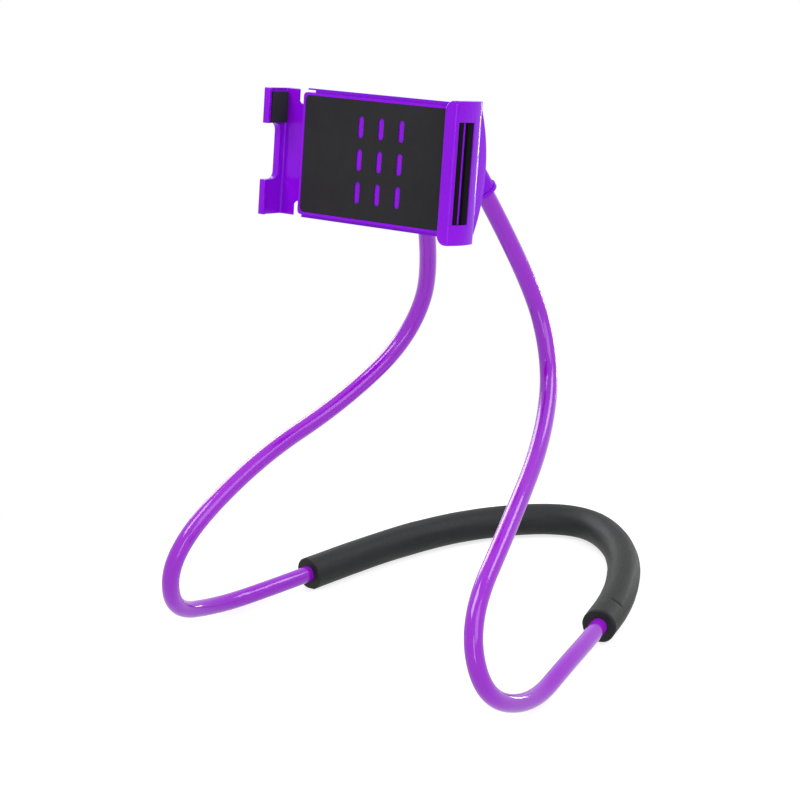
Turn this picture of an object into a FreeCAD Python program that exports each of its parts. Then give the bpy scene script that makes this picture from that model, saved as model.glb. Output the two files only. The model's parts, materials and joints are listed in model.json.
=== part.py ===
"""Neck phone holder: a bendable neck loop with a foam pad carries a sprung phone clamp on a ball joint.

Frame, in millimetres: +Z is up, the clamp faces -Y, the foam pad lies at the back on z = 0, and the
origin is under the middle of the object. The clamp is drawn in a frame of its own, with x along the
phone's width, y to the rear, z up and y = 0 at the face of the grip mat, and is then leaned into place.
"""
import FreeCAD, Part
import math
import os

V = FreeCAD.Vector
X_AXIS = V(1, 0, 0)
Y_AXIS = V(0, 1, 0)
Z_AXIS = V(0, 0, 1)

# neck loop: one bendable tube. Its right half is given from the hub to the nape in shares of the loop's
# half width, depth and height; the points at the nape have the height of the foam pad's middle
LOOP_HALF = 76.0
LOOP_DEEP = 199.0
LOOP_TALL = 190.0
ARM = [
    (0.158, -0.084, 1.0), (0.289, 0.057, 0.758), (0.447, 0.057, 0.574), (0.618, -0.089, 0.453),
    (0.789, -0.31, 0.363), (0.882, -0.511, 0.237), (0.987, -0.501, 0.079), (1.0, -0.325, 0.0103),
]
NAPE = [(0.921, -0.179), (0.724, 0.192), (0.461, 0.373), (0.197, 0.489)]
TUBE_D = 7.0
ARC_SHARE = 0.45

# foam pad: its ends lie on the nape's first run, in shares of that run
PAD_D = 14.0
PAD_GAP = 0.1
PAD_RIGHT_SHARE = 0.49
PAD_LEFT_SHARE = 0.21

# clamp: the mat's centre ahead of and above the ends of the tube, and the angle that it leans back
CLAMP_AHEAD = 39.1
CLAMP_ABOVE = 4.8
CLAMP_LEAN = 7.0

# clamp tray with the fixed jaw
BODY_LEFT = -38.0
BODY_RIGHT = 38.4
BODY_HALF = 22.8
BODY_CORNER = 1.5
MAT_T = 1.2
MAT_RIM = 1.0
MAT_CORNER = 1.8
FLOOR_T = 1.4
SEAM_STEP = 0.4
JAW_FRONT = -10.5
JAW_REAR = 3.9
JAW_HALF = 25.4
JAW_WALL = 2.8
JAW_BULGE = 1.6
LIP_T = 1.5
LIP_REACH = 3.4
LIP_CORNER = 3.4
JAW_ROUND = 2.0
WINDOW_HALF = 18.0
WINDOW_RIB_FRONT = -6.6
WINDOW_RIB_REAR = -4.8
WINDOW_RIB_SINK = 1.8
WINDOW_REAR = -1.6
JAW_PAD_T = 1.0
JAW_PAD_BORDER = 1.5
JAW_PAD_SINK = 0.15
PAD_FIT = 0.05

# rear cover: a channel for the slide under an arched back
COVER_HALF = 24.2
COVER_SHOULDER = 4.2
COVER_BACK = 10.6
COVER_WALL = 1.6
RIB_W = 2.2
COVER_END_STEP = 0.8
END_SLIT_LEN = 3.5
END_SLIT_W = 0.8

# sliding jaw, its travel and its return spring
TRAVEL = 30.0
SLIDE_T = 2.0
SLIDE_GAP = 0.25
SLIDE_HALF = 15.0
TAIL_HALF = 16.5
TAIL_LEFT = 2.0
TAIL_RIGHT = 8.0
SLIDE_JAW_LEFT = -49.3
SLIDE_JAW_WALL = 2.4
SLIDE_JAW_BULGE = 0.7
SLIDE_JAW_HALF = 23.6
SLIDE_LIP_REACH = 0.9
ROOT_FILLET = 0.8
SLIDE_BASE_FRONT = 1.0
SLIDE_BASE_REAR = 6.4
SLIDE_BASE_GAP = 0.4
BASE_CORNER_CUT = 1.0
BASE_CORNER_TALL = 5.4
BASE_CORNER_SLANT = 0.9
NOTCH_HALF = 10.5
NOTCH_FLOOR = -1.75
NOTCH_CORNER = 3.0
SLIDE_PAD_EDGE = 1.2
SLIDE_PAD_STEP = 0.2
SLIDE_PAD_T = 1.7
SPRING_D = 2.4
SPRING_WIRE = 0.5
SPRING_POST_D = 1.6
SPRING_POST_GAP = 0.15
SPRING_ANCHOR_X = 32.0
TAIL_POST_X = 5.5
TAIL_POCKET_T = 0.5

# screws that hold the cover to the tray
SCREW_D = 1.8
SCREW_HEAD_D = 3.6
SCREW_HEAD_T = 1.2
SCREW_X = 30.0
SCREW_BITE = 1.0
SCREW_FIT = 0.05

# ball joint behind the cover
BALL_D = 13.0
BALL_AT = 20.0
SEAT_T = 0.8
SEAT_FIT = 0.05
SEAT_REAR = 62.0
SEAT_FRONT = 104.0
SEAT_SPAN = 24.0
CUP_WALL = 1.8
CUP_MOUTH = 60.0
CUP_SLIT = 1.2
CUP_SLIT_DEEP = 7.0
NUT_FIT = 0.1
NUT_WALL = 2.6
NUT_LEN = 10.0
NUT_LIP = 1.4
NUT_RIBS = 12
NUT_RIB_D = 1.8
NECK_D = 5.0
FLANGE_D = 9.0
FLANGE_T = 1.3
SHANK_D = 4.0
SHANK_FIT = 0.05

# hub that joins the two tube ends behind the ball
HUB_STANDOFF = 15.0
HUB_BOSS_D = 17.0
HUB_DEEP = 16.0
HUB_WEB_T = 7.0
SOCKET_WALL = 0.8
SOCKET_LEN = 13.4
SOCKET_TOP = 2.0
COLLAR_D = 10.8
COLLAR_T = 1.4
FERRULE_T = 0.3
FERRULE_FIT = 0.05
FERRULE_LEN = 10.0
NUT_FLATS = 7.0
STUD_NUT_T = 3.2
WASHER_D = 8.0
WASHER_T = 0.8
CAP_T = 1.8
CAP_RIM = 1.0
CAP_DOME = 1.2
SET_SCREW_D = 3.0

# levels of the clamp that follow from the sizes above
TRAY_BACK = MAT_T + FLOOR_T
SLIDE_FRONT = TRAY_BACK + SLIDE_GAP
SLIDE_BACK = SLIDE_FRONT + SLIDE_T
CHANNEL_BACK = SLIDE_BACK + SLIDE_GAP
JAW_INNER = BODY_RIGHT - JAW_WALL
LIP_BACK = JAW_FRONT + LIP_T
CUP_INNER = BALL_D / 2 + SEAT_T + 2 * SEAT_FIT
CUP_OUTER = CUP_INNER + CUP_WALL
BALL_CENTRE = V(0, BALL_AT, 0)
SCREW_Z = (TAIL_HALF + SLIDE_GAP + COVER_HALF) / 2


def box(x0, x1, y0, y1, z0, z1):
    return Part.makeBox(x1 - x0, y1 - y0, z1 - z0, V(x0, y0, z0))


def rod(diameter, start, along, length):
    return Part.makeCylinder(diameter / 2, length, start, along)


def prism(points, along):
    """Solid from a closed outline of points, pushed along a vector."""
    return Part.Face(Part.makePolygon(points + points[:1])).extrude(along)


def fillet(solid, radius, chosen):
    return solid.makeFillet(radius, [edge for edge in solid.Edges if chosen(edge)])


def runs_along(edge, axis):
    ends = [vertex.Point for vertex in edge.Vertexes]
    return len(ends) == 2 and (ends[1] - ends[0]).cross(axis).Length < 1e-6


def slab(x0, x1, y0, y1, half, corner):
    """Plate facing y with its four corners rounded."""
    return fillet(box(x0, x1, y0, y1, -half, half), corner, lambda edge: runs_along(edge, Y_AXIS))


def both_sides(shape):
    """A shape and its mirror image across the plane x = 0, as two solids."""
    return Part.makeCompound([shape, shape.mirror(V(0, 0, 0), X_AXIS)])


def mirrored(point):
    return V(-point.x, point.y, point.z)


def unit(vector):
    return vector / vector.Length


# neck loop

HALF_ROUTE = [V(x * LOOP_HALF, y * LOOP_DEEP, z * LOOP_TALL) for x, y, z in ARM]
HALF_ROUTE += [V(x * LOOP_HALF, y * LOOP_DEEP, PAD_D / 2) for x, y in NAPE]
ROUTE = HALF_ROUTE + [mirrored(point) for point in reversed(HALF_ROUTE)]
CLAMP_AT = V(0, HALF_ROUTE[0].y - CLAMP_AHEAD, HALF_ROUTE[0].z + CLAMP_ABOVE)
TUBE_UP = unit(HALF_ROUTE[0] - HALF_ROUTE[1])


def bend(before, corner, after):
    """Start, middle and end of the tangent arc that rounds one corner of the route."""
    way_in = unit(corner - before)
    way_out = unit(after - corner)
    half_turn = way_in.getAngle(way_out) / 2
    reach = ARC_SHARE * min((corner - before).Length, (after - corner).Length)
    radius = reach / math.tan(half_turn)
    middle = corner + unit(way_out - way_in) * (radius / math.cos(half_turn) - radius)
    return corner - way_in * reach, middle, corner + way_out * reach


def route_wire(first, start, end):
    """Straight runs and tangent arcs between two points, round one corner to that corner's mirror image."""
    edges = []
    for corner in range(first, len(ROUTE) - first):
        arc_start, arc_middle, arc_end = bend(*ROUTE[corner - 1:corner + 2])
        edges.append(Part.makeLine(start, arc_start))
        edges.append(Part.Arc(arc_start, arc_middle, arc_end).toShape())
        start = arc_end
    edges.append(Part.makeLine(start, end))
    return Part.Wire(edges)


def tube_line():
    return route_wire(1, ROUTE[0], ROUTE[-1])


def disc(at, facing, diameter):
    return Part.Face(Part.Wire([Part.makeCircle(diameter / 2, at, facing)]))


def swept(path, outer, inner=0.0):
    """Round bar or tube along lines and arcs, each stretch pushed or turned from its own face."""
    pieces = []
    for edge in path.Edges:
        first, last = edge.ParameterRange
        start = edge.valueAt(first)
        facing = edge.tangentAt(first)
        face = disc(start, facing, outer)
        if inner > 0:
            face = face.cut(disc(start, facing, inner)).Faces[0]
        if edge.Curve.TypeId == "Part::GeomCircle":
            pieces.append(face.revolve(edge.Curve.Center, edge.Curve.Axis, math.degrees(last - first)))
        else:
            pieces.append(face.extrude(edge.valueAt(last) - start))
    return pieces[0].multiFuse(pieces[1:])


def neck_tube():
    return swept(tube_line(), TUBE_D)


def foam_pad():
    before, corner = HALF_ROUTE[len(ARM):len(ARM) + 2]
    right_end = before + (corner - before) * PAD_RIGHT_SHARE
    left_end = mirrored(before + (corner - before) * PAD_LEFT_SHARE)
    line = route_wire(len(ARM) + 1, right_end, left_end)
    return swept(line, PAD_D, TUBE_D + 2 * PAD_GAP)


# clamp

def jaw_profile(outer, inner, front, lip_edge, lip_back, rear, bulge_by):
    """Plan of a jaw, from the lip round the bulged outer wall to the inner face."""
    away = bulge_by if outer > inner else -bulge_by
    corner = V(outer - away, front, 0)
    bulge = V(outer + away / 3, (front + rear) / 2, 0)
    tail = V(outer, rear, 0)
    wall = Part.Arc(corner, bulge, tail).toShape()
    rest = [tail, V(inner, rear, 0), V(inner, lip_back, 0), V(lip_edge, lip_back, 0), V(lip_edge, front, 0)]
    lines = [Part.makeLine(a, b) for a, b in zip(rest, rest[1:] + [corner])]
    return Part.Face(Part.Wire([wall] + lines))


def raised(face, half):
    solid = face.extrude(V(0, 0, 2 * half))
    solid.translate(V(0, 0, -half))
    return solid


def fixed_jaw_bar():
    """The fixed jaw's wall and lip before its corners, edges and window are made."""
    lip_edge = JAW_INNER - LIP_REACH
    profile = jaw_profile(BODY_RIGHT, JAW_INNER, JAW_FRONT, lip_edge, LIP_BACK, JAW_REAR, JAW_BULGE)
    corner = BODY_RIGHT - JAW_BULGE
    return fillet(raised(profile, JAW_HALF), JAW_ROUND, lambda edge: runs_along(edge, Z_AXIS)
                  and edge.BoundBox.YMax < JAW_FRONT + 1e-6 and edge.BoundBox.XMin > corner - 1e-6)


def window_fill(y0, y1, half, sink):
    """Block in the wall between two depths, up to a level sunk below the wall's outer face."""
    bar = fixed_jaw_bar()
    bar.translate(V(-sink, 0, 0))
    return box(JAW_INNER, BODY_RIGHT + JAW_BULGE, y0, y1, -half, half).common(bar)


def fixed_jaw():
    lip_edge = JAW_INNER - LIP_REACH
    jaw = fixed_jaw_bar()
    beyond = BODY_RIGHT + 2 * JAW_BULGE
    jaw = jaw.common(slab(lip_edge, beyond + LIP_CORNER, JAW_FRONT, JAW_REAR, JAW_HALF, LIP_CORNER))
    jaw = fillet(jaw, LIP_T / 3, lambda edge: edge.BoundBox.YMax < JAW_FRONT + 1e-6
                 and edge.BoundBox.XMax < lip_edge + 1e-6)
    for y0, y1 in window_slots():
        jaw = jaw.cut(box(JAW_INNER - 1, beyond, y0, y1, -WINDOW_HALF, WINDOW_HALF))
    over_rib = box(JAW_INNER, beyond, WINDOW_RIB_FRONT, WINDOW_RIB_REAR, -WINDOW_HALF, WINDOW_HALF)
    rib = window_fill(WINDOW_RIB_FRONT, WINDOW_RIB_REAR, WINDOW_HALF, WINDOW_RIB_SINK)
    return jaw.cut(over_rib.cut(rib))


def window_slots():
    return [(LIP_BACK, WINDOW_RIB_FRONT), (WINDOW_RIB_REAR, WINDOW_REAR)]


def clamp_tray():
    plate = slab(BODY_LEFT, JAW_INNER + JAW_WALL / 2, 0, TRAY_BACK, BODY_HALF, BODY_CORNER)
    seam = box(BODY_LEFT, BODY_RIGHT, TRAY_BACK - SEAM_STEP, TRAY_BACK, -BODY_HALF, BODY_HALF)
    seam = seam.cut(box(BODY_LEFT, BODY_RIGHT, 0, TRAY_BACK, SEAM_STEP - BODY_HALF, BODY_HALF - SEAM_STEP))
    tray = plate.cut(seam).fuse(fixed_jaw())
    pocket_right = JAW_INNER
    pocket = slab(BODY_LEFT + MAT_RIM, pocket_right + MAT_CORNER, -1, MAT_T, BODY_HALF - MAT_RIM, MAT_CORNER)
    tray = tray.cut(pocket.common(box(BODY_LEFT, pocket_right, -1, MAT_T, -BODY_HALF, BODY_HALF)))
    for x, z in screw_places():
        tray = tray.cut(rod(SCREW_D + 2 * SCREW_FIT, V(x, TRAY_BACK - SCREW_BITE, z), Y_AXIS, FLOOR_T))
    foot = TRAY_BACK - FLOOR_T / 2
    post = rod(SPRING_POST_D, V(SPRING_ANCHOR_X, foot, 0), Y_AXIS, CHANNEL_BACK - foot)
    return tray.fuse(post).removeSplitter()


def grip_mat():
    mat = slab(BODY_LEFT + MAT_RIM + PAD_FIT, JAW_INNER + MAT_CORNER, 0, MAT_T, BODY_HALF - MAT_RIM - PAD_FIT,
               MAT_CORNER)
    return mat.common(box(BODY_LEFT, JAW_INNER - JAW_PAD_T - PAD_FIT, 0, MAT_T, -BODY_HALF, BODY_HALF))


def fixed_jaw_pad():
    tall = WINDOW_HALF + JAW_PAD_BORDER
    pad = box(JAW_INNER - JAW_PAD_T, JAW_INNER, LIP_BACK + PAD_FIT, MAT_T, -tall, tall)
    for y0, y1 in window_slots():
        pad = pad.fuse(window_fill(y0 + PAD_FIT, y1 - PAD_FIT, WINDOW_HALF - PAD_FIT, JAW_PAD_SINK))
    return pad.removeSplitter()


def screw_places():
    return [(x, z) for x in (-SCREW_X, SCREW_X) for z in (-SCREW_Z, SCREW_Z)]


def arch_face(x, half, shoulder, crown, foot):
    """D section of the cover at one x: straight sides up to the shoulder, then one arc over the crown."""
    arc = Part.Arc(V(x, shoulder, -half), V(x, crown, 0), V(x, shoulder, half)).toShape()
    feet = [V(x, shoulder, half), V(x, foot, half), V(x, foot, -half), V(x, shoulder, -half)]
    return Part.Face(Part.Wire([arc] + [Part.makeLine(a, b) for a, b in zip(feet, feet[1:])]))


def screw_head_seat(z):
    radius = (COVER_HALF ** 2 + (COVER_BACK - COVER_SHOULDER) ** 2) / (2 * (COVER_BACK - COVER_SHOULDER))
    return COVER_BACK - radius + math.sqrt(radius ** 2 - z ** 2) - SCREW_HEAD_T


def turned(outline, centre):
    """Solid of revolution about the line through a centre along y; a point between two is on an arc."""
    edges = []
    for a, middle, b in outline:
        edges.append(Part.Arc(a, middle, b).toShape() if middle else Part.makeLine(a, b))
    return Part.Face(Part.Wire(edges)).revolve(centre, Y_AXIS, 360)


def straight(points):
    return [(a, None, b) for a, b in zip(points, points[1:])]


def cup_mouth():
    """Level of the cup's mouth and the radius of its opening."""
    angle = math.radians(CUP_MOUTH)
    return BALL_AT + CUP_INNER * math.cos(angle), CUP_INNER * math.sin(angle)


def ball_cup():
    """Slotted cup moulded on the cover, open to the rear."""
    foot = COVER_BACK - COVER_WALL
    mouth, throat = cup_mouth()
    bottom = V(0, BALL_AT - CUP_INNER, 0)
    wall = [bottom, V(0, foot, 0), V(CUP_OUTER, foot, 0), V(CUP_OUTER, mouth, 0), V(throat, mouth, 0)]
    cup = turned(straight(wall) + [(wall[-1], V(CUP_INNER, BALL_AT, 0), bottom)], BALL_CENTRE)
    for turn in (45, 135):
        slit = box(-2 * CUP_OUTER, 2 * CUP_OUTER, mouth - CUP_SLIT_DEEP, mouth + 1,
                   -CUP_SLIT / 2, CUP_SLIT / 2)
        slit.rotate(V(0, 0, 0), Y_AXIS, turn)
        cup = cup.cut(slit)
    return cup


def clamp_cover():
    length = BODY_RIGHT - COVER_END_STEP - BODY_LEFT
    body = arch_face(BODY_LEFT, COVER_HALF, COVER_SHOULDER, COVER_BACK, TRAY_BACK).extrude(V(length, 0, 0))
    body = body.fuse(ball_cup())
    inside_left = BODY_LEFT + COVER_WALL
    inside_right = JAW_INNER - COVER_WALL
    lip_end = TAIL_LEFT - TRAVEL
    narrow = SLIDE_HALF + SLIDE_GAP
    wide = TAIL_HALF + SLIDE_GAP
    body = body.cut(box(BODY_LEFT - 1, lip_end + 1, TRAY_BACK, CHANNEL_BACK, -narrow, narrow))
    body = body.cut(box(lip_end, inside_right, TRAY_BACK, CHANNEL_BACK, -wide, wide))
    hollow = arch_face(inside_left, COVER_HALF - COVER_WALL, COVER_SHOULDER - COVER_WALL,
                       COVER_BACK - COVER_WALL, 0).extrude(V(inside_right - inside_left, 0, 0))
    hollow_half = narrow - RIB_W
    hollow = hollow.common(box(inside_left, inside_right, TRAY_BACK, COVER_BACK, -hollow_half, hollow_half))
    jaw_rebate = box(JAW_INNER - PAD_FIT, BODY_RIGHT + 1, TRAY_BACK, JAW_REAR + PAD_FIT, -JAW_HALF, JAW_HALF)
    end_slit = box(BODY_LEFT - 1, BODY_LEFT + END_SLIT_LEN, TRAY_BACK, COVER_BACK,
                   BODY_HALF, BODY_HALF + END_SLIT_W)
    body = body.cut(hollow).cut(jaw_rebate).cut(end_slit)
    for x, z in screw_places():
        seat = screw_head_seat(abs(z))
        body = body.cut(rod(SCREW_D + 2 * SCREW_FIT, V(x, TRAY_BACK, z), Y_AXIS, COVER_BACK))
        body = body.cut(rod(SCREW_HEAD_D + 2 * SCREW_FIT, V(x, seat, z), Y_AXIS, COVER_BACK))
    return body.removeSplitter()


def cover_screws():
    screws = []
    for x, z in screw_places():
        seat = screw_head_seat(abs(z))
        start = TRAY_BACK - SCREW_BITE
        shank = rod(SCREW_D, V(x, start, z), Y_AXIS, seat - start)
        head = rod(SCREW_HEAD_D, V(x, seat, z), Y_AXIS, SCREW_HEAD_T / 2)
        screws.append(shank.fuse(head).removeSplitter())
    return Part.makeCompound(screws)


def slide_jaw():
    inner = SLIDE_JAW_LEFT + SLIDE_JAW_WALL
    lip_edge = inner + SLIDE_LIP_REACH
    profile = jaw_profile(SLIDE_JAW_LEFT, inner, JAW_FRONT, lip_edge, LIP_BACK, SLIDE_BASE_REAR,
                          SLIDE_JAW_BULGE)
    jaw = raised(profile, SLIDE_JAW_HALF)
    base_right = BODY_LEFT - SLIDE_BASE_GAP
    base = box(inner - SLIDE_JAW_WALL / 2, base_right, SLIDE_BASE_FRONT, SLIDE_BASE_REAR,
               -SLIDE_JAW_HALF, SLIDE_JAW_HALF)
    jaw = jaw.fuse(base).removeSplitter()
    root = [e for e in jaw.Edges if runs_along(e, Z_AXIS)
            and abs(e.BoundBox.XMax - inner) < 1e-6 and abs(e.BoundBox.YMax - SLIDE_BASE_FRONT) < 1e-6]
    jaw = jaw.makeFillet(ROOT_FILLET, root)
    deep = SLIDE_BASE_REAR + SLIDE_T
    for side in (-1, 1):
        low = side * (SLIDE_JAW_HALF - BASE_CORNER_TALL)
        high = side * (SLIDE_JAW_HALF + 1)
        inset = base_right - BASE_CORNER_CUT
        clear = base_right + deep
        cut = [V(base_right, 0, low), V(inset, 0, low + side * BASE_CORNER_CUT), V(inset, 0, high),
               V(clear, 0, high), V(clear, 0, low)]
        jaw = jaw.cut(prism(cut, V(-BASE_CORNER_SLANT * deep, deep, 0)))
    front_edges = [e for e in jaw.Edges if e.BoundBox.YMax < JAW_FRONT + 1e-6]
    jaw = jaw.makeFillet(LIP_T / 3, front_edges)
    notch = box(SLIDE_JAW_LEFT - 2, lip_edge + 1, JAW_FRONT - 2 * NOTCH_CORNER, NOTCH_FLOOR,
                -NOTCH_HALF, NOTCH_HALF)
    notch = fillet(notch, NOTCH_CORNER,
                   lambda e: runs_along(e, X_AXIS) and abs(e.BoundBox.YMax - NOTCH_FLOOR) < 1e-6)
    jaw = jaw.cut(notch)
    plate = box(base_right - BASE_CORNER_CUT, TAIL_RIGHT, SLIDE_FRONT, SLIDE_BACK, -SLIDE_HALF, SLIDE_HALF)
    tail = box(TAIL_LEFT, TAIL_RIGHT, SLIDE_FRONT, SLIDE_BACK, -TAIL_HALF, TAIL_HALF)
    slide = jaw.fuse([plate, tail])
    pocket_floor = SLIDE_FRONT + TAIL_POCKET_T
    slide = slide.cut(box(TAIL_LEFT, TAIL_RIGHT + 1, pocket_floor, SLIDE_BACK + 1, -SPRING_D, SPRING_D))
    return slide.fuse(rod(SPRING_POST_D, V(TAIL_POST_X, SLIDE_FRONT, 0), Y_AXIS, SLIDE_T)).removeSplitter()


def slide_jaw_pad():
    inner = SLIDE_JAW_LEFT + SLIDE_JAW_WALL
    rear = SLIDE_BASE_FRONT - ROOT_FILLET
    return box(inner, inner + SLIDE_PAD_T, LIP_BACK + PAD_FIT, rear,
               NOTCH_HALF + SLIDE_PAD_STEP, SLIDE_JAW_HALF - SLIDE_PAD_EDGE)


def return_spring():
    """Close-wound extension spring from the slide's tail to the tray, its coil a plain bar."""
    y = SLIDE_FRONT + TAIL_POCKET_T + SPRING_D / 2
    eye = SPRING_POST_D + 2 * SPRING_POST_GAP
    start = TAIL_POST_X + (eye + SPRING_WIRE) / 2
    end = SPRING_ANCHOR_X - (eye + SPRING_WIRE) / 2
    spring = rod(SPRING_D, V(start, y, 0), X_AXIS, end - start)
    for post_x in (TAIL_POST_X, SPRING_ANCHOR_X):
        at = V(post_x, y - SPRING_WIRE / 2, 0)
        ring = rod(eye + 2 * SPRING_WIRE, at, Y_AXIS, SPRING_WIRE).cut(rod(eye, at, Y_AXIS, SPRING_WIRE))
        spring = spring.fuse(ring)
    return spring


def seat(start):
    """Cone ring between ball and cup, over a span of angle that starts so far from the rearward axis."""
    half = math.radians(SEAT_SPAN / 2)
    inner = (BALL_D / 2 + SEAT_FIT) / math.cos(half)
    outer = BALL_D / 2 + SEAT_FIT + SEAT_T

    def at(radius, angle):
        turn = math.radians(angle)
        return V(radius * math.sin(turn), BALL_AT + radius * math.cos(turn), 0)

    end = start + SEAT_SPAN
    corners = [at(outer, start), at(outer, end), at(inner, end), at(inner, start)]
    return turned(straight(corners + corners[:1]), BALL_CENTRE)


def ball_seat_rear():
    return seat(SEAT_REAR)


def ball_seat_front():
    return seat(SEAT_FRONT)


def lock_nut():
    """Ribbed ring nut on the cup, with a lip that closes the cup's fingers on the ball."""
    bore = CUP_OUTER + NUT_FIT
    outer = bore + NUT_WALL
    mouth, throat = cup_mouth()
    lip_front = mouth + NUT_FIT
    rear = lip_front + NUT_LIP
    front = rear - NUT_LEN
    profile = [V(bore, front, 0), V(outer, front, 0), V(outer, rear - NUT_LIP, 0),
               V(outer - NUT_LIP, rear, 0), V(throat + NUT_LIP, rear, 0), V(throat, lip_front, 0),
               V(bore, lip_front, 0)]
    nut = Part.Face(Part.makePolygon(profile + profile[:1])).revolve(V(0, 0, 0), Y_AXIS, 360)
    for k in range(NUT_RIBS):
        groove = box(outer - NUT_RIB_D / 2, outer + NUT_RIB_D, front - 1, rear - NUT_LIP,
                     -NUT_RIB_D / 2, NUT_RIB_D / 2)
        groove.rotate(V(0, 0, 0), Y_AXIS, 360 * k / NUT_RIBS)
        nut = nut.cut(groove)
    return nut


# hub, drawn in the whole object's frame round the ball's centre

def lean(shape):
    """Puts a shape of the clamp's own frame in its place on the object."""
    moved = shape.copy()
    moved.rotate(V(0, 0, 0), X_AXIS, -CLAMP_LEAN)
    moved.translate(CLAMP_AT)
    return moved


BALL = CLAMP_AT + FreeCAD.Rotation(X_AXIS, -CLAMP_LEAN).multVec(BALL_CENTRE)
HUB_FACE = BALL + V(0, HUB_STANDOFF, 0)
HUB_BACK = HUB_FACE + V(0, HUB_DEEP, 0)
SOCKET_BORE = TUBE_D + 2 * FERRULE_T + 4 * FERRULE_FIT
SOCKET_D = SOCKET_BORE + 2 * SOCKET_WALL
NUT_POCKET = STUD_NUT_T + WASHER_T + CAP_T + CAP_RIM


def tube_socket():
    mouth = HALF_ROUTE[0] - TUBE_UP * SOCKET_LEN
    sleeve = rod(SOCKET_D, mouth, TUBE_UP, SOCKET_LEN + SOCKET_TOP)
    return sleeve.fuse(rod(COLLAR_D, mouth, TUBE_UP, COLLAR_T))


def hub_web():
    top = HALF_ROUTE[0]
    low = HALF_ROUTE[0] - TUBE_UP * (SOCKET_LEN - 2 * COLLAR_T)
    outline = [top, low, mirrored(low), mirrored(top)]
    across = unit((low - top).cross(X_AXIS)) * HUB_WEB_T
    web = prism(outline, across)
    web.translate(across / -2)
    return web


def hexagon(flats, start, along):
    corner = flats / math.sqrt(3)
    turns = [k * math.pi / 3 for k in range(6)]
    return prism([start + V(corner * math.cos(t), 0, corner * math.sin(t)) for t in turns], along)


def set_screw_line():
    """Point and direction of the screw that locks the right tube end, square to the tube from the rear."""
    aim = HALF_ROUTE[0] - TUBE_UP * (FERRULE_LEN / 2)
    return aim, unit(V(0, 1, 0) - TUBE_UP * TUBE_UP.y)


def hub_body():
    boss = rod(HUB_BOSS_D, HUB_FACE, Y_AXIS, HUB_DEEP)
    hub = boss.fuse([both_sides(tube_socket()), hub_web()])
    bore = rod(SOCKET_BORE, HALF_ROUTE[0] - TUBE_UP * (SOCKET_LEN + 1), TUBE_UP, SOCKET_LEN + 1)
    aim, outward = set_screw_line()
    screw_hole = rod(SET_SCREW_D + 2 * SCREW_FIT, aim, outward, SOCKET_D)
    hub = hub.cut(both_sides(bore)).cut(both_sides(screw_hole))
    hub = hub.cut(rod(SHANK_D + 2 * SHANK_FIT, HUB_FACE, Y_AXIS, HUB_DEEP))
    pocket_at = HUB_BACK - V(0, NUT_POCKET, 0)
    return hub.cut(rod(cap_plug(), pocket_at, Y_AXIS, NUT_POCKET)).removeSplitter()


def cap_plug():
    return WASHER_D + 4 * SHANK_FIT


def hub_cap():
    plug = rod(cap_plug() - 2 * SHANK_FIT, HUB_BACK - V(0, CAP_RIM, 0), Y_AXIS, CAP_RIM)
    lid = rod(HUB_BOSS_D - 2 * CAP_RIM, HUB_BACK, Y_AXIS, CAP_T)
    rim = [e for e in lid.Edges if e.BoundBox.YMin > HUB_BACK.y + CAP_T - 1e-6]
    return plug.fuse(lid.makeChamfer(CAP_DOME, rim)).removeSplitter()


def hub_set_screws():
    aim, outward = set_screw_line()
    reach = TUBE_D / 2 + FERRULE_T + FERRULE_FIT + SCREW_FIT
    screw = rod(SET_SCREW_D, aim + outward * reach, outward, SOCKET_D / 2 - reach + SCREW_FIT)
    drive = rod(SET_SCREW_D / 2, aim + outward * (SOCKET_D / 2 - SOCKET_WALL / 2), outward, SOCKET_WALL)
    return both_sides(screw.cut(drive))


def tube_ferrules():
    start = HALF_ROUTE[0] - TUBE_UP * FERRULE_LEN
    inner = TUBE_D + 2 * FERRULE_FIT
    ring = rod(inner + 2 * FERRULE_T, start, TUBE_UP, FERRULE_LEN)
    return both_sides(ring.cut(rod(inner, start, TUBE_UP, FERRULE_LEN)))


def ball_stud():
    radius = BALL_D / 2
    neck = NECK_D / 2
    front = V(0, -radius, 0)
    line = [V(neck, math.sqrt(radius ** 2 - neck ** 2), 0), V(neck, HUB_STANDOFF - FLANGE_T, 0),
            V(FLANGE_D / 2, HUB_STANDOFF - FLANGE_T, 0), V(FLANGE_D / 2, HUB_STANDOFF, 0),
            V(SHANK_D / 2, HUB_STANDOFF, 0), V(SHANK_D / 2, HUB_STANDOFF + HUB_DEEP - CAP_RIM - CAP_T, 0),
            V(0, HUB_STANDOFF + HUB_DEEP - CAP_RIM - CAP_T, 0), front]
    stud = turned([(front, V(radius, 0, 0), line[0])] + straight(line), V(0, 0, 0))
    stud.translate(BALL)
    return stud


def stud_washer():
    at = HUB_BACK - V(0, NUT_POCKET, 0)
    return rod(WASHER_D, at, Y_AXIS, WASHER_T).cut(rod(SHANK_D + 2 * SHANK_FIT, at, Y_AXIS, WASHER_T))


def stud_nut():
    at = HUB_BACK - V(0, NUT_POCKET - WASHER_T, 0)
    nut = hexagon(NUT_FLATS, at, V(0, STUD_NUT_T, 0))
    return nut.cut(rod(SHANK_D + 2 * SHANK_FIT, at, Y_AXIS, STUD_NUT_T))


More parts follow.
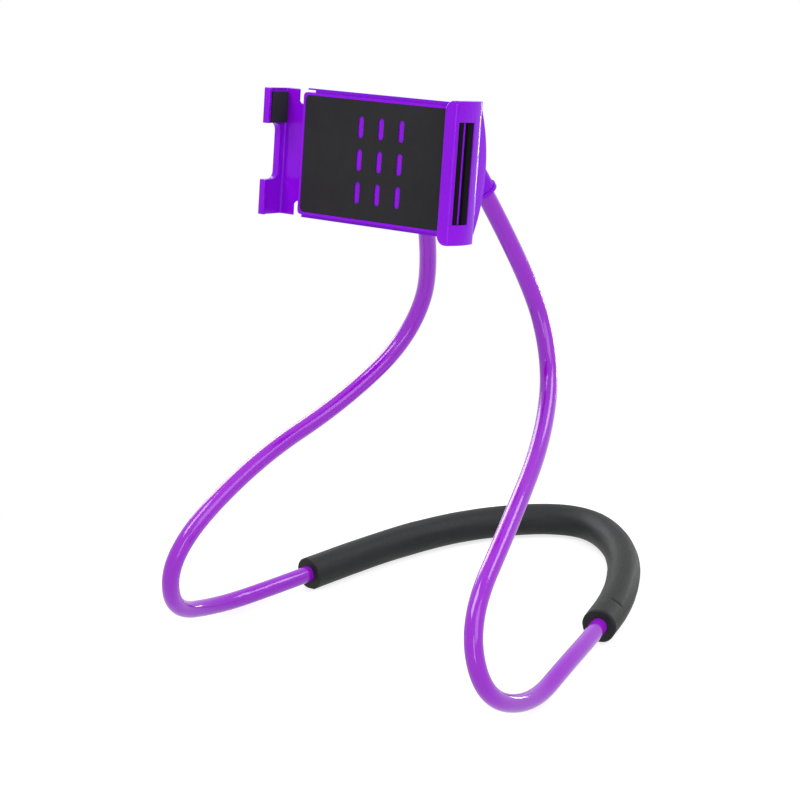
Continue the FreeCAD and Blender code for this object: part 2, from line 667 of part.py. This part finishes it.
LEANED = {
    "clamp_tray": clamp_tray,
    "clamp_cover": clamp_cover,
    "cover_screws": cover_screws,
    "grip_mat": grip_mat,
    "fixed_jaw_pad": fixed_jaw_pad,
    "lock_nut": lock_nut,
    "slide_jaw": slide_jaw,
    "slide_jaw_pad": slide_jaw_pad,
    "return_spring": return_spring,
    "ball_seat_front": ball_seat_front,
    "ball_seat_rear": ball_seat_rear,
}
STANDING = {
    "neck_tube": neck_tube,
    "foam_pad": foam_pad,
    "hub_body": hub_body,
    "hub_cap": hub_cap,
    "hub_set_screws": hub_set_screws,
    "tube_ferrules": tube_ferrules,
    "ball_stud": ball_stud,
    "stud_washer": stud_washer,
    "stud_nut": stud_nut,
}


def main():
    os.makedirs("parts", exist_ok=True)
    shapes = {name: lean(make()) for name, make in LEANED.items()}
    shapes.update({name: make() for name, make in STANDING.items()})
    for name, shape in shapes.items():
        shape.exportStep(f"parts/{name}.step")
        print(f"{name}: {len(shape.Solids)} solids, {shape.Volume:.1f} mm3, valid {shape.isValid()}")
    whole = Part.makeCompound(list(shapes.values())).optimalBoundingBox(True, False)
    print("box", whole)
    length = tube_line().Length
    print(f"tube length {length:.1f}, its volume by length {length * math.pi * TUBE_D ** 2 / 4:.1f}")
    print(f"ball centre {BALL.x:.3f} {BALL.y:.3f} {BALL.z:.3f}")


main()
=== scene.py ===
"""Looks of the neck phone holder: materials, the smooth tube, the foam pad and softened edges."""
import json
import math

import bmesh
import bpy
from mathutils import Matrix, Vector, noise


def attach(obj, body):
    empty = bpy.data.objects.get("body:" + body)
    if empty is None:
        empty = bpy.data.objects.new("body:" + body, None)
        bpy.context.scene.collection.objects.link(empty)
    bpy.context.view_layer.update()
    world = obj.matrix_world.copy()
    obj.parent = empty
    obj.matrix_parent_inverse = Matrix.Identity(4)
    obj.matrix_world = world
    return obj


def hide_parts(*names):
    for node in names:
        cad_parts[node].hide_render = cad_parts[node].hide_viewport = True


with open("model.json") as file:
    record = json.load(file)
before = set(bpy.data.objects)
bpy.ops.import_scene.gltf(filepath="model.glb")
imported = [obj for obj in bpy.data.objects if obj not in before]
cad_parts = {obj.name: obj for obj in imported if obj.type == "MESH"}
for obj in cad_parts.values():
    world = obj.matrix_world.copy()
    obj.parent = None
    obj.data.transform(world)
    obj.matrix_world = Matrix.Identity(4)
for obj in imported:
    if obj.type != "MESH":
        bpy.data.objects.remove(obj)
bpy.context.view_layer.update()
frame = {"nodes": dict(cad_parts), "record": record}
scene = bpy.context.scene
MM = 0.001
WHITE = (1, 1, 1, 1)

# the loop's control points in millimetres, hub to nape, on the right and on the left
RIGHT = [
    (12.0, -16.7, 190.0), (22.0, 11.3, 144.0), (33.5, 11.7, 109.3), (47.0, -16.6, 86.5),
    (60.2, -62.1, 68.7), (67.2, -100.2, 46.6), (74.7, -101.7, 18.8), (74.9, -68.7, 3.1),
    (70.9, -35.2, 6.8), (65.7, -5.5, 6.9), (55.9, 35.0, 6.9), (35.9, 75.0, 6.9), (9.3, 99.2, 7.0),
]
LEFT = [
    (-12.0, -16.7, 190.0), (-22.0, 11.3, 144.0), (-33.9, 11.9, 109.5), (-47.5, -17.9, 85.9),
    (-59.9, -60.8, 70.0), (-67.3, -103.3, 44.2), (-74.2, -98.7, 14.5), (-78.0, -64.5, 4.2),
    (-68.1, -35.8, 6.4), (-63.7, -8.9, 6.5), (-53.9, 38.7, 6.8), (-36.7, 74.4, 7.0),
    (-12.6, 97.9, 7.0),
]
TUBE_RADIUS = 3.5
TUBE_STEPS = 24
TUBE_ROUNDNESS = 20

# foam sleeve: where its ends lie, its cut ends, its uneven skin and the small crease near its right end
FOAM_RADIUS = 7.0
FOAM_RIGHT_Y = 0.6
FOAM_LEFT_Y = -20.3
FOAM_EDGE = 0.6
FOAM_STEPS = 60
FOAM_RING = 64
NAPE_TOP = 20.0
BORE_FIT = 0.06
BORE_STEP = 8
CUT_RADII = (4.4, 5.3)
SKIN_WAVE = 0.16
SKIN_GRAIN = 0.06
SKIN_GRAIN_SCALE = 3.1
SKIN_WAVES_ALONG = 55
SKIN_WAVES_ROUND = 3
CREASE_AT = 13.0
CREASE_WIDE = 0.55
CREASE_DEEP = 1.4
CREASE_TURN = 1.0
CREASE_SPAN = 0.28

# the clamp's own frame: x along the phone, y to the rear, y = 0 on the mat's face
CLAMP_AT = (0.0, -0.055816, 0.1948)
CLAMP_LEAN = math.radians(-7.0)
CLAMP = Matrix.Translation(CLAMP_AT) @ Matrix.Rotation(CLAMP_LEAN, 4, "X")

# plain slots in the mat, three by three, and the inlay under them
SLOT_MIDDLE_X = -2.0
SLOT_PITCH_X = 9.0
SLOT_PITCH_Z = 12.0
SLOT_LONG = 8.0
SLOT_WIDE = 2.4
SLOT_DEEP = 0.5
SLOT_END_STEPS = 10
CUTTER_FRONT = -1.0
INLAY_GROW = 0.1
INLAY_RISE = 0.12
INLAY_SINK = 0.3

# section of the rib in the fixed jaw's window, in the clamp's frame, and half its length
RIB_PROFILE = [
    (36.4, -6.5), (37.1, -6.5), (37.35, -6.4), (37.55, -6.1), (37.7, -5.6), (37.75, -5.2),
    (37.7, -5.0), (37.5, -4.9), (36.4, -4.9),
]
RIB_HALF = 17.85

# the two nylon rings between ball and cup: where each starts from the rearward axis, in degrees
BALL_AT = 20.0
BALL_RADIUS = 6.5
SEAT_FIT = 0.05
SEAT_T = 0.8
SEAT_SPAN = 16.0
SEAT_STARTS = {"ball_seat_rear": 62.0, "ball_seat_front": 108.0}
SEAT_STEPS = 48

# rounded edges of the moulded pieces: widths in metres, and which edges count as sharp
EDGE_WIDTHS = {
    "clamp_tray": 0.0005, "clamp_cover": 0.0005, "slide_jaw": 0.0006, "lock_nut": 0.0003,
    "hub_body": 0.0005, "hub_cap": 0.0003, "fixed_jaw_pad": 0.0002, "slide_jaw_pad": 0.00015,
}
MAT_EDGE = 0.00025
EDGE_SEGMENTS = 2
EDGE_ANGLE = math.radians(35)
SHARP_ANGLE = math.radians(40)
FLAT_ANGLE = math.radians(0.6)
MERGE_WITHIN = 0.000002

# camera, set from the fit to the loop's two halves and the clamp
CAMERA_AT = (0.40384, -0.62407, 0.31801)
YAW, PITCH, ROLL = (math.radians(a) for a in (34.903, 17.035, -0.084))
FOCAL_PX = 1926.35
IMAGE_PX = 800
SENSOR_MM = 36.0
CLIP_START = 0.01

# floor: its half width, its tone near the object, and where that tone has faded to white
FLOOR_REACH = 6.0
FLOOR_PALE = (0.8, 0.8, 0.8, 1)
FLOOR_ROUGH = 0.9
NEAR_PALE = (0.42, 0.42, 0.42, 1)
NEAR_GLOW = 0.7
FADE_FROM = 0.12
FADE_TO = 0.24

# softboxes: place, what it faces, width and height in metres, watts
CENTRE = (0.0, 0.0, 0.1)
JAW_EDGE = (0.04, -0.05, 0.12)
SOFTBOXES = {
    "key": ((-0.35, -0.6, 1.15), CENTRE, (0.5, 0.7), 9),
    "fill": ((0.95, -0.35, 0.75), CENTRE, (0.7, 0.7), 4),
    "top": ((0.6, 0.4, 0.95), CENTRE, (0.5, 0.4), 4),
    "left_card": ((-0.8, 0.3, 0.5), CENTRE, (0.4, 0.5), 4),
    "front": ((0.62, -0.85, 0.3), CENTRE, (0.22, 0.6), 1.6),
    "rear_strip": ((0.1, 0.62, 0.08), JAW_EDGE, (0.03, 0.11), 0.4),
}
SKY_LIGHT = 0.55
SKY_SEEN = 1.0


# materials

def srgb(r, g, b):
    """Linear colour from 8-bit display values."""
    out = []
    for v in (r, g, b):
        c = v / 255
        out.append(c / 12.92 if c <= 0.04045 else ((c + 0.055) / 1.055) ** 2.4)
    return (*out, 1.0)


class Nodes:
    """A material's node tree with short calls to add and join nodes."""

    def __init__(self, name):
        self.material = bpy.data.materials.new(name)
        self.material.use_nodes = True
        self.tree = self.material.node_tree
        self.shader = self.tree.nodes["Principled BSDF"]

    def add(self, kind, **values):
        node = self.tree.nodes.new(kind)
        for key, value in values.items():
            socket = key.replace("_", " ")
            if socket in node.inputs:
                node.inputs[socket].default_value = value
            else:
                setattr(node, key, value)
        return node

    def join(self, out, into):
        self.tree.links.new(out, into)

    def feed(self, out, socket):
        """Join an output to the shader's named socket."""
        self.join(out, self.shader.inputs[socket])

    def set(self, **values):
        for key, value in values.items():
            self.shader.inputs[key.replace("_", " ")].default_value = value

    def noise(self, scale, detail=3.0, rough=0.5):
        where = self.add("ShaderNodeTexCoord")
        texture = self.add("ShaderNodeTexNoise", Scale=scale, Detail=detail, Roughness=rough)
        self.join(where.outputs["Object"], texture.inputs["Vector"])
        return texture.outputs["Fac"]

    def ramp(self, fac, dark, light, start, end):
        """A colour that goes from dark to light as fac goes from start to end."""
        ramp = self.add("ShaderNodeValToRGB")
        first, last = ramp.color_ramp.elements
        first.position, first.color = start, dark
        last.position, last.color = end, light
        self.join(fac, ramp.inputs["Fac"])
        return ramp.outputs["Color"]

    def span(self, fac, low, high):
        """A number between low and high that follows fac."""
        reach = self.add("ShaderNodeMapRange", To_Min=low, To_Max=high)
        self.join(fac, reach.inputs["Value"])
        return reach.outputs["Result"]

    def bump(self, height, strength, distance, under=None):
        bump = self.add("ShaderNodeBump", Strength=strength, Distance=distance)
        self.join(height, bump.inputs["Height"])
        if under is not None:
            self.join(under, bump.inputs["Normal"])
        return bump.outputs["Normal"]

    def mix(self, fac, first, second):
        """The first shader where fac is 0, and the second where it is 1."""
        node = self.add("ShaderNodeMixShader")
        self.join(fac, node.inputs[0])
        self.join(first.outputs[0], node.inputs[1])
        self.join(second.outputs[0], node.inputs[2])
        return node


def gloss_plastic(name, dark, light, rough, shine):
    """Moulded gloss plastic: slight colour drift, uneven gloss and a fine ripple."""
    m = Nodes(name)
    m.feed(m.ramp(m.noise(38, detail=4.0), dark, light, start=0.3, end=0.72), "Base Color")
    m.feed(m.span(m.noise(160), low=rough[0], high=rough[1]), "Roughness")
    ripple = m.bump(m.noise(70, detail=2.0), strength=0.03, distance=0.0006)
    grain = m.bump(m.noise(900, detail=2.0), strength=0.012, distance=0.00005, under=ripple)
    m.feed(grain, "Normal")
    m.set(IOR=1.46, Specular_IOR_Level=shine)
    return m.material


def sleek_sleeve(name, dark, light):
    """Smooth extruded sleeve: slow colour drift and a clear skin that mirrors long light."""
    m = Nodes(name)
    m.feed(m.ramp(m.noise(24), dark, light, start=0.3, end=0.72), "Base Color")
    m.feed(m.span(m.noise(90), low=0.12, high=0.18), "Roughness")
    m.feed(m.bump(m.noise(28, detail=1.0), strength=0.02, distance=0.0006), "Normal")
    m.set(IOR=1.5, Specular_IOR_Level=0.3, Coat_Weight=0.4, Coat_Roughness=0.03, Coat_IOR=1.5)
    return m.material


def soft_rubber(name, dark, light, shine, sheen):
    """Matte rubber: fine grain, faint mottling and a dusty sheen."""
    m = Nodes(name)
    mottling = m.noise(45, detail=5.0, rough=0.6)
    m.feed(m.ramp(mottling, dark, light, start=0.3, end=0.75), "Base Color")
    m.feed(m.span(m.noise(300, detail=4.0), low=0.58, high=0.78), "Roughness")
    m.feed(m.bump(m.noise(3200, rough=0.7), strength=0.18, distance=0.00012), "Normal")
    m.set(IOR=1.42, Specular_IOR_Level=shine, Sheen_Weight=sheen, Sheen_Roughness=0.5)
    return m.material


def closed_foam(name, dark, light, shine):
    """Closed-cell foam: small cells, soft mottling and a dull gloss."""
    m = Nodes(name)
    mottling = m.noise(240, detail=5.0, rough=0.6)
    m.feed(m.ramp(mottling, dark, light, start=0.3, end=0.75), "Base Color")
    where = m.add("ShaderNodeTexCoord")
    cells = m.add("ShaderNodeTexVoronoi", Scale=1500.0)
    m.join(where.outputs["Object"], cells.inputs["Vector"])
    skin = m.bump(m.noise(300), strength=0.03, distance=0.0005)
    m.feed(m.bump(cells.outputs["Distance"], strength=0.06, distance=0.0002, under=skin), "Normal")
    m.feed(m.span(cells.outputs["Distance"], low=0.52, high=0.66), "Roughness")
    m.set(IOR=1.45, Specular_IOR_Level=shine)
    return m.material


def bright_metal(name, tint, rough):
    """Turned metal: slight mottling, uneven gloss and a fine grain."""
    m = Nodes(name)
    light = tuple(min(1.0, 1.15 * c) for c in tint)
    m.feed(m.ramp(m.noise(120, detail=4.0), tint, light, start=0.3, end=0.8), "Base Color")
    m.feed(m.span(m.noise(900), low=rough - 0.06, high=rough + 0.08), "Roughness")
    m.feed(m.bump(m.noise(1800, detail=2.0), strength=0.05, distance=0.00005), "Normal")
    m.set(Metallic=1.0)
    return m.material


PURPLE = gloss_plastic("purple_plastic", srgb(120, 4, 194), srgb(128, 8, 204), (0.1, 0.16), 0.17)
TUBE = sleek_sleeve("purple_tube", srgb(130, 10, 176), srgb(138, 16, 184))
RUBBER = soft_rubber("black_rubber", srgb(17, 15, 20), srgb(24, 22, 27), 0.3, 0.05)
# the fixed jaw's pad: the same black rubber with painted shade, darker than the slide jaw's pad for the
# shade in its window, and with less gloss and sheen
SHADED_JAW_RUBBER = soft_rubber("jaw_rubber_painted_shade", srgb(8, 7, 9), srgb(13, 12, 15), 0.06, 0.01)
FOAM = closed_foam("black_foam", srgb(7, 10, 11), srgb(15, 18, 19), 0.4)
CUT_FOAM = closed_foam("cut_foam", srgb(8, 8, 9), srgb(14, 14, 15), 0.0)
NYLON = soft_rubber("white_nylon", srgb(205, 205, 200), srgb(222, 222, 217), 0.3, 0.05)
STEEL = bright_metal("bright_steel", srgb(178, 178, 182), 0.28)
ALUMINIUM = bright_metal("plain_aluminium", srgb(205, 206, 210), 0.36)
SLOT_MATERIALS = {
    "purple_plastic": PURPLE, "purple_tube": TUBE, "black_rubber": RUBBER, "black_foam": FOAM,
    "white_nylon": NYLON, "steel": STEEL, "aluminium": ALUMINIUM,
}
SLOT_OF = {row["node"]: row["material_slot"] for row in frame["record"]["subparts"]}
BODIES = frame["record"]["behaviour"]["bodies"]
BODY_OF = {node: body for body, nodes in BODIES.items() for node in nodes}


def paint(obj, material):
    obj.data.materials.clear()
    obj.data.materials.append(material)


for node, obj in frame["nodes"].items():
    paint(obj, SLOT_MATERIALS[SLOT_OF[node]])


# pieces

def link(name, data):
    obj = bpy.data.objects.new(name, data)
    scene.collection.objects.link(obj)
    return obj


def closed_mesh(bm, name):
    """The mesh of a finished closed shape, with its faces turned outward."""
    bmesh.ops.recalc_face_normals(bm, faces=bm.faces)
    mesh = bpy.data.meshes.new(name)
    bm.to_mesh(mesh)
    bm.free()
    return mesh


def softened(node, width):
    """Copy of a CAD node with its sharp edges rounded, which stands for the node."""
    mesh = frame["nodes"][node].data.copy()
    bm = bmesh.new()
    bm.from_mesh(mesh)
    bmesh.ops.remove_doubles(bm, verts=bm.verts, dist=MERGE_WITHIN)
    bmesh.ops.dissolve_limit(bm, angle_limit=FLAT_ANGLE, verts=bm.verts, edges=bm.edges)
    bm.to_mesh(mesh)
    bm.free()
    obj = link(node + "_soft", mesh)
    bevel = obj.modifiers.new("edges", "BEVEL")
    bevel.width = width
    bevel.segments = EDGE_SEGMENTS
    bevel.limit_method = "ANGLE"
    bevel.angle_limit = EDGE_ANGLE
    bevel.use_clamp_overlap = True
    bevel.harden_normals = True
    for polygon in mesh.polygons:
        polygon.use_smooth = True
    mesh.set_sharp_from_angle(angle=SHARP_ANGLE)
    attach(obj, BODY_OF[node])
    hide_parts(node)
    paint(obj, SLOT_MATERIALS[SLOT_OF[node]])
    return obj


def route_curve(name, steps):
    """The loop's smooth line as a NURBS curve from the right end round to the left."""
    curve = bpy.data.curves.new(name, "CURVE")
    curve.dimensions = "3D"
    points = RIGHT + LEFT[::-1]
    spline = curve.splines.new("NURBS")
    spline.points.add(len(points) - 1)
    for slot, point in zip(spline.points, points):
        slot.co = (*(MM * c for c in point), 1.0)
    spline.order_u = 3
    spline.use_endpoint_u = True
    curve.resolution_u = steps
    return curve


def curve_mesh(curve):
    """The mesh that a curve draws."""
    holder = link(curve.name, curve)
    bpy.context.view_layer.update()
    mesh = bpy.data.meshes.new_from_object(holder)
    bpy.data.objects.remove(holder)
    return mesh


def neck_tube():
    """The whole loop as one smooth tube with flat ends."""
    curve = route_curve("tube_line", TUBE_STEPS)
    curve.bevel_depth = TUBE_RADIUS * MM
    curve.bevel_resolution = TUBE_ROUNDNESS
    curve.use_fill_caps = True
    mesh = curve_mesh(curve)
    for polygon in mesh.polygons:
        polygon.use_smooth = len(polygon.vertices) == 4
    obj = link("smooth_tube", mesh)
    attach(obj, "frame")
    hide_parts("neck_tube")
    paint(obj, TUBE)


def foam_line():
    """Points of the smooth line that lie inside the foam, from its right end to its left end."""
    points = [v.co.copy() for v in curve_mesh(route_curve("foam_line", FOAM_STEPS)).vertices]
    nape = [p for p in points if p.z < NAPE_TOP * MM]
    return [p for p in nape if p.y > (FOAM_RIGHT_Y if p.x > 0 else FOAM_LEFT_Y) * MM]


def foam_pad():
    """Foam sleeve round the tube: uneven skin, rounded cut ends, a crease and a flat underside."""
    line = foam_line()
    run = [0.0]
    for a, b in zip(line, line[1:]):
        run.append(run[-1] + (b - a).length)
    total = run[-1]
    bm = bmesh.new()

    def circle(k, radius_at):
        along = line[min(k + 1, len(line) - 1)] - line[max(k - 1, 0)]
        out = along.cross(Vector((0, 0, 1))).normalized()
        rise = out.cross(along).normalized()
        verts = []
        for j in range(FOAM_RING):
            turn = 2 * math.pi * j / FOAM_RING
            at = line[k] + (math.cos(turn) * out + math.sin(turn) * rise) * radius_at(turn)
            at.z = max(at.z, 0.0)
            verts.append(bm.verts.new(at))
        return verts

    def skin(k):
        def radius_at(turn):
            near = min(run[k], total - run[k])
            rounding = FOAM_EDGE * MM
            radius = FOAM_RADIUS * MM
            if near < rounding:
                radius -= rounding - math.sqrt(rounding ** 2 - (rounding - near) ** 2)
            at = Vector((run[k] * SKIN_WAVES_ALONG, SKIN_WAVES_ROUND * math.cos(turn),
                         SKIN_WAVES_ROUND * math.sin(turn)))
            radius += SKIN_WAVE * MM * noise.noise(at)
            radius += SKIN_GRAIN * MM * noise.noise(at * SKIN_GRAIN_SCALE)
            along = (run[k] - CREASE_AT * MM) / (CREASE_WIDE * MM)
            round_by = (turn - CREASE_TURN) / CREASE_SPAN
            return radius - CREASE_DEEP * MM * math.exp(-along ** 2 - round_by ** 2)
        return radius_at

    def plain(radius):
        return lambda turn: radius * MM

    bore = TUBE_RADIUS + BORE_FIT
    cut = (bore, *CUT_RADII)
    last = len(line) - 1
    rings = [circle(0, plain(r)) for r in cut]
    rings += [circle(k, skin(k)) for k in range(len(line))]
    rings += [circle(last, plain(r)) for r in cut[::-1]]
    rings += [circle(k, plain(bore)) for k in range(last - BORE_STEP, BORE_STEP, -BORE_STEP)]
    far_cut = last + len(cut)
    cut_rings = {*range(len(cut)), *range(far_cut, far_cut + len(cut))}
    for k, (a, b) in enumerate(zip(rings, rings[1:] + rings[:1])):
        for j in range(FOAM_RING):
            after = (j + 1) % FOAM_RING
            face = bm.faces.new((a[j], b[j], b[after], a[after]))
            face.smooth = k not in cut_rings
            face.material_index = 1 if k in cut_rings else 0
    mesh = closed_mesh(bm, "foam_sleeve")
    obj = link("foam_sleeve", mesh)
    paint(obj, FOAM)
    mesh.materials.append(CUT_FOAM)
    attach(obj, "frame")
    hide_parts("foam_pad")


def clamp_point(x, y, z):
    """A point of the clamp's own frame, in millimetres, in the object's frame in metres."""
    return CLAMP @ Vector((x * MM, y * MM, z * MM))


def pill(bm, x, z, length, width, y0, y1):
    """Upright prism with round ends, between two depths of the clamp's own frame."""
    outline = []
    for end in (1, -1):
        for k in range(SLOT_END_STEPS + 1):
            turn = math.pi * k / SLOT_END_STEPS
            outline.append((x + end * math.cos(turn) * width / 2,
                            z + end * ((length - width) / 2 + math.sin(turn) * width / 2)))
    front = [bm.verts.new(clamp_point(px, y0, pz)) for px, pz in outline]
    back = [bm.verts.new(clamp_point(px, y1, pz)) for px, pz in outline]
    bm.faces.new(front)
    bm.faces.new(back[::-1])
    for k in range(len(outline)):
        after = (k + 1) % len(outline)
        bm.faces.new((front[k], back[k], back[after], front[after]))


def pills_mesh(name, grow, y0, y1):
    """The slots' nine prisms, each grown by the same amount all round."""
    bm = bmesh.new()
    for column in (-1, 0, 1):
        for row in (-1, 0, 1):
            pill(bm, SLOT_MIDDLE_X + column * SLOT_PITCH_X, row * SLOT_PITCH_Z,
                 SLOT_LONG + 2 * grow, SLOT_WIDE + 2 * grow, y0, y1)
    return closed_mesh(bm, name)


def grip_mat():
    """The rubber mat with plain slots cut in its face, and the inlay that shows in them."""
    mat = softened("grip_mat", MAT_EDGE)
    cutter = link("slot_cutter", pills_mesh("slot_cutter", 0.0, CUTTER_FRONT, SLOT_DEEP))
    cut = mat.modifiers.new("slots", "BOOLEAN")
    cut.operation = "DIFFERENCE"
    cut.object = cutter
    cut.solver = "EXACT"
    bpy.context.view_layer.update()
    shown = mat.evaluated_get(bpy.context.evaluated_depsgraph_get())
    shape = bpy.data.meshes.new_from_object(shown)
    mat.modifiers.clear()
    mat.data = shape
    bpy.data.objects.remove(cutter)
    inlay = link("mat_inlay", pills_mesh("mat_inlay", INLAY_GROW, SLOT_DEEP - INLAY_RISE,
                                         SLOT_DEEP + INLAY_SINK))
    paint(inlay, PURPLE)
    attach(inlay, "clamp")


def window_rib():
    """Low domed rib that stands on the fixed jaw's bar, between the two strips of its pad."""
    bm = bmesh.new()
    low, high = ([bm.verts.new(clamp_point(x, y, z)) for x, y in RIB_PROFILE]
                 for z in (-RIB_HALF, RIB_HALF))
    bm.faces.new(low)
    bm.faces.new(high[::-1])
    for k in range(len(low)):
        bm.faces.new((low[k - 1], low[k], high[k], high[k - 1]))
    obj = link("window_rib", closed_mesh(bm, "window_rib"))
    paint(obj, PURPLE)
    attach(obj, "clamp")


def seat_ring(node, start):
    """Nylon ring that stands for a seat, short enough to clear the other ring when tilted."""
    inner = (BALL_RADIUS + SEAT_FIT) / math.cos(math.radians(SEAT_SPAN / 2))
    outer = BALL_RADIUS + SEAT_FIT + SEAT_T
    end = start + SEAT_SPAN
    section = [(outer, start), (outer, end), (inner, end), (inner, start)]
    bm = bmesh.new()
    rings = []
    for k in range(SEAT_STEPS):
        turn = 2 * math.pi * k / SEAT_STEPS
        ring = []
        for radius, angle in section:
            out = radius * math.sin(math.radians(angle))
            back = BALL_AT + radius * math.cos(math.radians(angle))
            at = clamp_point(out * math.cos(turn), back, out * math.sin(turn))
            ring.append(bm.verts.new(at))
        rings.append(ring)
    for k in range(SEAT_STEPS):
        for j in range(len(section)):
            bm.faces.new((rings[k - 1][j], rings[k][j], rings[k][j - 1], rings[k - 1][j - 1]))
    obj = link(node + "_ring", closed_mesh(bm, node + "_ring"))
    paint(obj, SLOT_MATERIALS[SLOT_OF[node]])
    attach(obj, BODY_OF[node])
    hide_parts(node)


neck_tube()
foam_pad()
grip_mat()
window_rib()
for node, start in SEAT_STARTS.items():
    seat_ring(node, start)
soft = {node: softened(node, width) for node, width in EDGE_WIDTHS.items()}
# the fixed jaw's pad takes the rubber with painted shade for its shaded window
paint(soft["fixed_jaw_pad"], SHADED_JAW_RUBBER)


# camera

camera = link("camera", bpy.data.cameras.new("camera"))
scene.camera = camera
ahead = Vector((-math.sin(YAW) * math.cos(PITCH), math.cos(YAW) * math.cos(PITCH),
                -math.sin(PITCH)))
side = Vector((math.cos(YAW), math.sin(YAW), 0.0))
above = side.cross(ahead)
right = math.cos(ROLL) * side + math.sin(ROLL) * above
up = math.cos(ROLL) * above - math.sin(ROLL) * side
turned = Matrix((right, up, -ahead)).transposed().to_4x4()
camera.matrix_world = Matrix.Translation(CAMERA_AT) @ turned
camera.data.sensor_fit = "HORIZONTAL"
camera.data.sensor_width = SENSOR_MM
camera.data.lens = FOCAL_PX / IMAGE_PX * SENSOR_MM
camera.data.clip_start = CLIP_START


# stage and light

def floor_material():
    """White to the camera but for the soft shadow, white in reflections, pale to other light."""
    m = Nodes("pale_floor")
    m.set(Base_Color=FLOOR_PALE, Roughness=FLOOR_ROUGH)
    white = m.add("ShaderNodeEmission", Color=WHITE, Strength=1.0)
    pale = m.add("ShaderNodeBsdfDiffuse", Color=NEAR_PALE)
    glow = m.add("ShaderNodeEmission", Color=WHITE, Strength=NEAR_GLOW)
    near = m.add("ShaderNodeAddShader")
    m.join(glow.outputs[0], near.inputs[0])
    m.join(pale.outputs[0], near.inputs[1])
    where = m.add("ShaderNodeTexCoord")
    apart = m.add("ShaderNodeVectorMath", operation="LENGTH")
    m.join(where.outputs["Object"], apart.inputs[0])
    fade = m.add("ShaderNodeMapRange", interpolation_type="SMOOTHSTEP",
                 From_Min=FADE_FROM, From_Max=FADE_TO)
    m.join(apart.outputs["Value"], fade.inputs["Value"])
    shown = m.mix(fade.outputs["Result"], near, white)
    path = m.add("ShaderNodeLightPath")
    to_camera = m.mix(path.outputs["Is Camera Ray"], m.shader, shown)
    mirrored = m.add("ShaderNodeMath", operation="MAXIMUM")
    m.join(path.outputs["Is Glossy Ray"], mirrored.inputs[0])
    m.join(path.outputs["Is Transmission Ray"], mirrored.inputs[1])
    to_gloss = m.mix(mirrored.outputs[0], to_camera, white)
    m.join(to_gloss.outputs[0], m.tree.nodes["Material Output"].inputs["Surface"])
    return m.material


def studio_world():
    """Even pale light all round, and plain white to the camera and in reflections."""
    world = bpy.data.worlds.new("studio")
    world.use_nodes = True
    nodes, links = world.node_tree.nodes, world.node_tree.links
    sky = nodes["Background"]
    sky.inputs["Color"].default_value = WHITE
    sky.inputs["Strength"].default_value = SKY_LIGHT
    seen = nodes.new("ShaderNodeBackground")
    seen.inputs["Color"].default_value = WHITE
    seen.inputs["Strength"].default_value = SKY_SEEN
    path = nodes.new("ShaderNodeLightPath")
    shown_to = path.outputs["Is Camera Ray"]
    for ray in ("Is Glossy Ray", "Is Transmission Ray"):
        either = nodes.new("ShaderNodeMath")
        either.operation = "MAXIMUM"
        links.new(shown_to, either.inputs[0])
        links.new(path.outputs[ray], either.inputs[1])
        shown_to = either.outputs[0]
    pick = nodes.new("ShaderNodeMixShader")
    links.new(shown_to, pick.inputs[0])
    links.new(sky.outputs[0], pick.inputs[1])
    links.new(seen.outputs[0], pick.inputs[2])
    links.new(pick.outputs[0], nodes["World Output"].inputs["Surface"])
    return world


def softbox(name, at, aim, size, power):
    lamp = bpy.data.lights.new(name, "AREA")
    lamp.shape = "RECTANGLE"
    lamp.size, lamp.size_y = size
    lamp.energy = power
    obj = link(name, lamp)
    obj.location = at
    obj.rotation_euler = (Vector(aim) - Vector(at)).to_track_quat("-Z", "Y").to_euler()


floor = link("floor", bpy.data.meshes.new("floor"))
corners = [(-1, -1), (1, -1), (1, 1), (-1, 1)]
floor.data.from_pydata([(FLOOR_REACH * x, FLOOR_REACH * y, 0) for x, y in corners], [],
                       [(0, 1, 2, 3)])
paint(floor, floor_material())
scene.world = studio_world()
for name, (at, aim, size, power) in SOFTBOXES.items():
    softbox(name, at, aim, size, power)
scene.view_settings.view_transform = "Standard"
